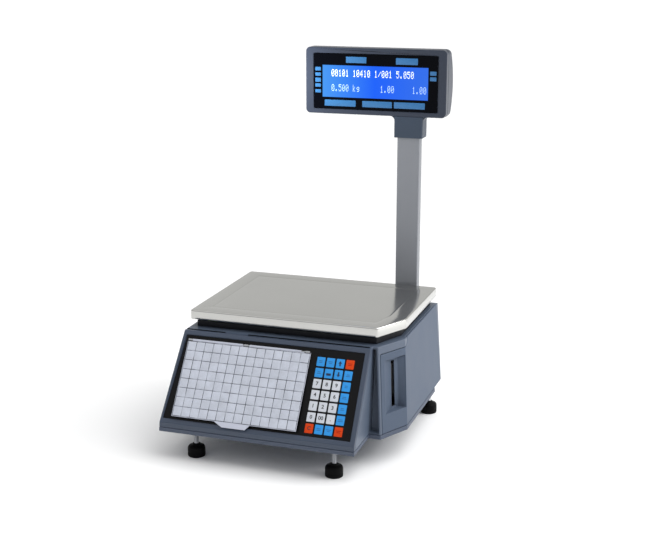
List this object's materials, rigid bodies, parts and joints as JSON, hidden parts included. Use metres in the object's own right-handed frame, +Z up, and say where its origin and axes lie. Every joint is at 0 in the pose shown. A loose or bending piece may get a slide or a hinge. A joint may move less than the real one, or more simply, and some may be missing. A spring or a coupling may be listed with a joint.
{
  "type": "label printing scale",
  "caption": "Counter weighing scale with a steel platter, sloped key panel, label printer drawer in its side and a display head on a pole.",
  "frame": {"origin": "on the ground under the feet, at the centre of the bounding box", "axes": "+Z up; the keyboard faces -Y; +X is to the operator's right, where the printer drawer opens"},
  "size_m": [0.3866, 0.4326, 0.6475],
  "materials": {
    "belt_rubber": "black belt",
    "bezel_plastic": "fine textured slate grey moulding",
    "black_plastic": "black moulding",
    "black_steel": "black powder coat",
    "cable_sheath": "black sheath",
    "casing_plastic": "fine textured slate grey moulding",
    "cast_aluminium": "cast",
    "cell_aluminium": "milled",
    "circuit_board": "green solder mask",
    "collar_plastic": "dark navy moulding",
    "display_glass": "blue lit display",
    "door_plastic": "fine textured slate grey moulding",
    "foot_rubber": "black rubber on a steel stud",
    "gear_nylon": "natural nylon",
    "head_ceramic": "glazed ceramic on aluminium",
    "key_film": "black printed key film",
    "label_paper": "wound label paper",
    "level_acrylic": "clear cup with green fluid",
    "pad_rubber": "black rubber",
    "page_plastic": "white printed card in clear film",
    "platen_rubber": "dark rubber",
    "pole_aluminium": "satin anodised",
    "screw_steel": "bright plated steel",
    "spool_plastic": "dark moulding",
    "stainless": "brushed stainless steel",
    "tray_steel": "slate powder coat",
    "window_acrylic": "black backed acrylic",
    "zinc_steel": "zinc plated sheet steel"
  },
  "bodies": {
    "base": {"bottom_tray": "tray_steel", "upper_housing": "casing_plastic", "splash_collar": "collar_plastic", "keyboard_bezel": "bezel_plastic", "keyboard_membrane": "key_film", "keyboard_circuit_board": "circuit_board", "key_page_hinge": "zinc_steel", "load_cell": "cell_aluminium", "load_cell_base": "cast_aluminium", "load_cell_top_bracket": "cast_aluminium", "load_cell_screws": "screw_steel", "platter_carrier": "black_steel", "platter_pads": "pad_rubber", "overload_stop": "screw_steel", "spirit_level": "level_acrylic", "foot_lock_nuts": "screw_steel", "main_circuit_board": "circuit_board", "power_supply": "zinc_steel", "rear_panel": "zinc_steel", "power_inlet": "black_plastic", "power_switch_frame": "black_plastic", "lan_socket": "zinc_steel", "usb_socket": "zinc_steel", "serial_socket": "zinc_steel", "pole": "pole_aluminium", "pole_bracket": "bezel_plastic", "pole_screws": "screw_steel", "display_cable": "cable_sheath", "head_neck": "casing_plastic", "head_front_shell": "casing_plastic", "head_rear_shell": "casing_plastic", "display_window": "window_acrylic", "display_panel": "display_glass", "display_circuit_board": "circuit_board", "rear_display_window": "window_acrylic", "rear_display_panel": "display_glass", "drawer_rails": "zinc_steel"},
    "key_page": {"key_page": "page_plastic"},
    "platter": {"platter": "stainless"},
    "power_rocker": {"power_switch": "black_plastic"},
    "drawer": {"drawer_front": "door_plastic", "cassette_chassis": "zinc_steel", "supply_spindle": "spool_plastic", "print_frame": "zinc_steel", "stepper_motor": "zinc_steel", "peel_bar": "stainless", "label_sensor": "black_plastic", "drive_belt": "belt_rubber"},
    "label_roll": {"label_roll": "label_paper"},
    "take_up": {"take_up_spool": "spool_plastic"},
    "platen": {"platen_roller": "platen_rubber", "platen_gear": "gear_nylon"},
    "idler": {"idler_gear": "gear_nylon"},
    "motor_rotor": {"motor_pinion": "zinc_steel"},
    "print_head": {"print_head_arm": "cast_aluminium", "print_head": "head_ceramic"},
    "foot_front_left": {"foot_front_left": "foot_rubber"},
    "foot_front_right": {"foot_front_right": "foot_rubber"},
    "foot_rear_left": {"foot_rear_left": "foot_rubber"},
    "foot_rear_right": {"foot_rear_right": "foot_rubber"}
  },
  "joints": [
    {"name": "key_page_flip", "type": "hinge", "parent": "base", "child": "key_page", "pos_m": [0, -0.13639, 0.18446], "axis": [-1, 0, 0], "range_deg": [0, 130]},
    {"name": "platter_lift", "type": "slide", "parent": "base", "child": "platter", "axis": [0, 0, 1], "range_m": [0, 0.06]},
    {"name": "power_rocker_tilt", "type": "hinge", "parent": "base", "child": "power_rocker", "pos_m": [-0.112, 0.1537, 0.096], "axis": [1, 0, 0], "range_deg": [0, 14]},
    {"name": "drawer_slide", "type": "slide", "parent": "base", "child": "drawer", "axis": [1, 0, 0], "range_m": [0, 0.13]},
    {"name": "roll_spin", "type": "hinge", "parent": "drawer", "child": "label_roll", "pos_m": [0.124, 0.086, 0.126], "axis": [0, 0, 1], "continuous": true},
    {"name": "platen_spin", "type": "hinge", "parent": "drawer", "child": "platen", "pos_m": [0.15042, -0.08074, 0.126], "axis": [0, 0, 1], "continuous": true},
    {"name": "idler_spin", "type": "hinge", "parent": "drawer", "child": "idler", "pos_m": [0.12869, -0.08182, 0.17], "axis": [0, 0, 1], "continuous": true},
    {"name": "motor_spin", "type": "hinge", "parent": "drawer", "child": "motor_rotor", "pos_m": [0.11173, -0.08266, 0.17], "axis": [0, 0, 1], "continuous": true},
    {"name": "take_up_spin", "type": "hinge", "parent": "drawer", "child": "take_up", "pos_m": [0.08404, -0.04803, 0.126], "axis": [0, 0, 1], "continuous": true},
    {"name": "print_head_open", "type": "hinge", "parent": "drawer", "child": "print_head", "pos_m": [0.1299, -0.05066, 0.129], "axis": [0, 0, 1], "range_deg": [0, 28]},
    {"name": "foot_front_left_screw", "type": "slide", "parent": "base", "child": "foot_front_left", "axis": [0, 0, 1], "range_m": [-0.004, 0.008]},
    {"name": "foot_front_right_screw", "type": "slide", "parent": "base", "child": "foot_front_right", "axis": [0, 0, 1], "range_m": [-0.004, 0.008]},
    {"name": "foot_rear_left_screw", "type": "slide", "parent": "base", "child": "foot_rear_left", "axis": [0, 0, 1], "range_m": [-0.004, 0.008]},
    {"name": "foot_rear_right_screw", "type": "slide", "parent": "base", "child": "foot_rear_right", "axis": [0, 0, 1], "range_m": [-0.004, 0.008]}
  ],
  "couplings": [
    {"joint": "platen_spin", "follows": "roll_spin", "ratio": -6.8571},
    {"joint": "idler_spin", "follows": "roll_spin", "ratio": 5.4857},
    {"joint": "motor_spin", "follows": "roll_spin", "ratio": -13.714},
    {"joint": "take_up_spin", "follows": "roll_spin", "ratio": 5.4857}
  ]
}
